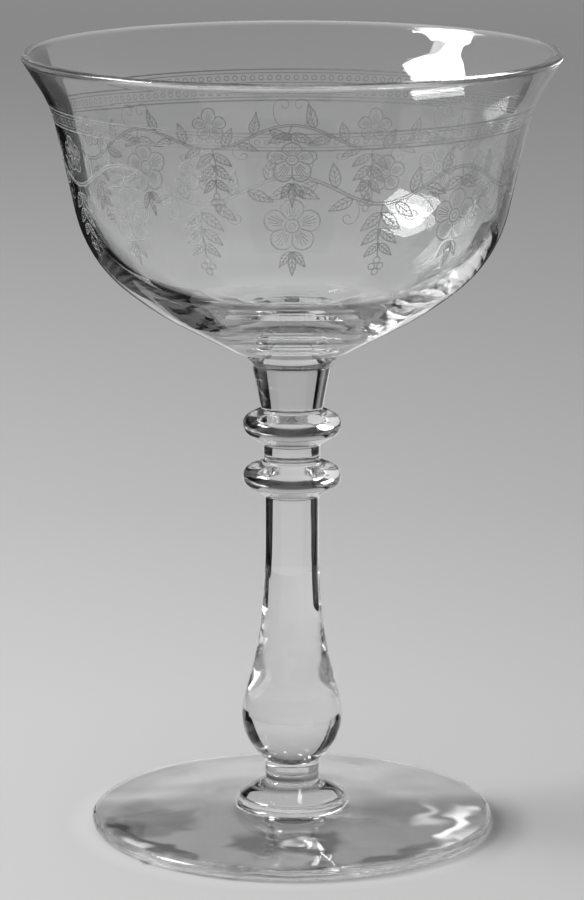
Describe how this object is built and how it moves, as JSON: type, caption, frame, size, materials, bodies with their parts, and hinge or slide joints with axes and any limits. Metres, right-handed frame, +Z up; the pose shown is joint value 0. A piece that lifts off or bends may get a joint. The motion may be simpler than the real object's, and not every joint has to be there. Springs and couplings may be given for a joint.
{
  "type": "sherbet glass",
  "caption": "Stemmed sherbet glass: wide flared bowl of thin clear glass on a ringed stem with a drop, standing on a flat round foot.",
  "frame": {"origin": "on the table, under the middle of the foot", "axes": "+Z up along the axis of the glass, which is a solid of revolution; +X to the right and +Y away from the viewer"},
  "size_m": [0.0944, 0.0944, 0.14],
  "materials": {
    "foot_glass": "clear, fire polished, with slight tool marks",
    "stem_glass": "clear, fire polished",
    "bowl_glass": "clear, fire polished, with a frosted etched ornament"
  },
  "bodies": {
    "root": {"foot": "foot_glass", "stem": "stem_glass", "bowl": "bowl_glass"}
  },
  "joints": []
}
